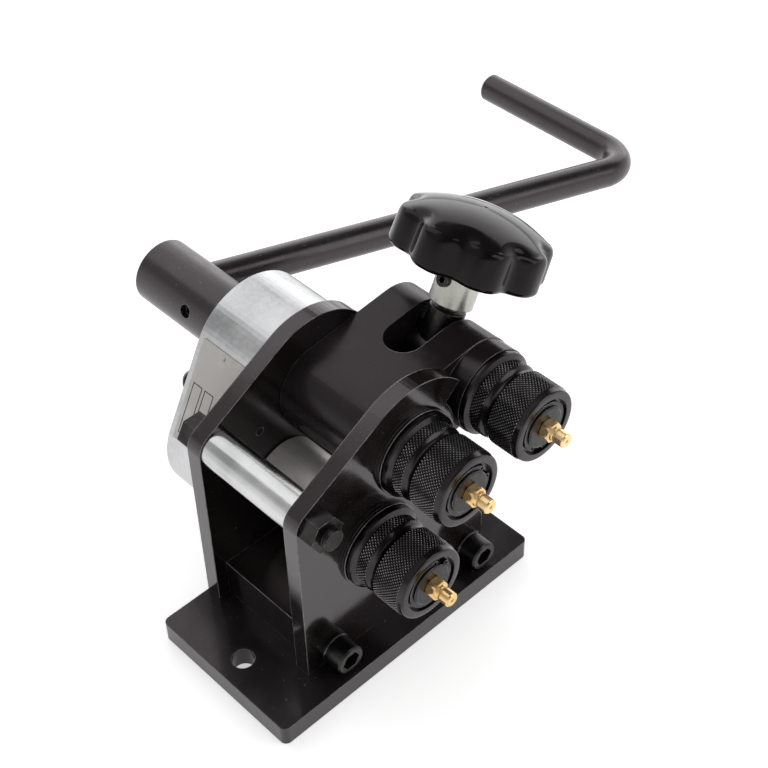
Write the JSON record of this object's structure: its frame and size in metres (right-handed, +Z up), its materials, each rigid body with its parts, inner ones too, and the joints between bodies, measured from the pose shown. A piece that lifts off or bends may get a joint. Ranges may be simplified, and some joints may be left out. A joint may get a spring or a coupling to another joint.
{
  "type": "roll bending machine",
  "caption": "Bench roll bender: knurled rollers on geared shafts between side plates, a swing arm set by a knob on a lifting screw, and a bent crank handle.",
  "frame": {"origin": "middle of the base plate's underside", "axes": "+X right along the side plates as seen from the rollers' side, +Y to the back along the roller shafts, +Z up"},
  "size_m": [0.4653, 0.3223, 0.2219],
  "materials": {
    "black_paint": "gloss black paint",
    "arm_paint": "black paint",
    "crank_paint": "satin black paint",
    "black_oxide": "black oxide",
    "roller_steel": "blackened, knurled bands",
    "zinc": "bright zinc plate",
    "bright_steel": "turned",
    "bronze": "turned bronze",
    "brass": "turned",
    "label": "blank satin plate",
    "knob_plastic": "gloss moulded black"
  },
  "bodies": {
    "frame": {"base_plate": "black_paint", "spacer_block": "black_paint", "front_plate": "black_paint", "rear_plate": "black_paint", "tie_tube": "zinc", "tie_bolt": "black_oxide", "tie_nut": "black_oxide", "front_cap_screws": "black_oxide", "rear_cap_screws": "black_oxide", "foot_screws": "black_oxide", "front_bushes": "black_oxide", "rear_bushes": "bronze", "gear_cover": "zinc", "cover_pillars": "zinc", "cover_screws": "black_oxide", "label_plate": "label", "label_rivets": "label", "screw_cup": "bright_steel"},
    "drive": {"drive_shaft": "bright_steel", "drive_roller": "roller_steel", "drive_clip": "bright_steel", "drive_nipple": "brass", "drive_gear": "bright_steel", "crank_hub": "crank_paint", "hub_grub_screw": "black_oxide", "crank_handle": "crank_paint"},
    "lower": {"lower_shaft": "bright_steel", "lower_sleeve": "black_oxide", "lower_roller": "roller_steel", "lower_clip": "bright_steel", "lower_nipple": "brass", "lower_gear": "bright_steel"},
    "arm": {"swing_arm": "arm_paint", "arm_bush": "bronze"},
    "pivot": {"bending_shaft": "bright_steel", "bending_clip": "bright_steel", "bending_nipple": "brass"},
    "bend_roller": {"bending_roller": "roller_steel"},
    "foot": {"screw_foot": "bright_steel"},
    "screw": {"lifting_screw": "zinc", "star_knob": "knob_plastic", "set_collar": "zinc", "collar_screw": "black_oxide"}
  },
  "joints": [
    {"name": "crank_turn", "type": "hinge", "parent": "frame", "child": "drive", "pos_m": [0.02, 0.009, 0.129], "axis": [0, 1, 0], "continuous": true},
    {"name": "lower_turn", "type": "hinge", "parent": "frame", "child": "lower", "pos_m": [-0.00711, 0.009, 0.07886], "axis": [0, 1, 0], "continuous": true},
    {"name": "arm_swing", "type": "hinge", "parent": "frame", "child": "arm", "pos_m": [0.02, 0.009, 0.129], "axis": [0, 1, 0], "range_deg": [0, 40]},
    {"name": "bending_roller_turn", "type": "hinge", "parent": "pivot", "child": "bend_roller", "pos_m": [0.07667, -0.055, 0.13516], "axis": [0, 1, 0], "continuous": true},
    {"name": "shaft_swivel", "type": "hinge", "parent": "arm", "child": "pivot", "pos_m": [0.07667, 0.009, 0.13516], "axis": [0, 1, 0], "range_deg": [-30.12, 0]},
    {"name": "foot_travel", "type": "slide", "parent": "pivot", "child": "foot", "axis": [0.4695, 0, 0.8829], "range_m": [0, 0.0367]},
    {"name": "knob_turn", "type": "hinge", "parent": "foot", "child": "screw", "pos_m": [0.07667, 0.009, 0.13516], "axis": [0.4695, 0, 0.8829], "range_deg": [0, 4390]}
  ],
  "couplings": [
    {"joint": "lower_turn", "follows": "crank_turn", "ratio": -1},
    {"joint": "arm_swing", "follows": "knob_turn", "ratio": 0.0090965},
    {"joint": "shaft_swivel", "follows": "knob_turn", "ratio": -0.0068279},
    {"joint": "foot_travel", "follows": "knob_turn", "m_per_rad": 0.00047746}
  ]
}
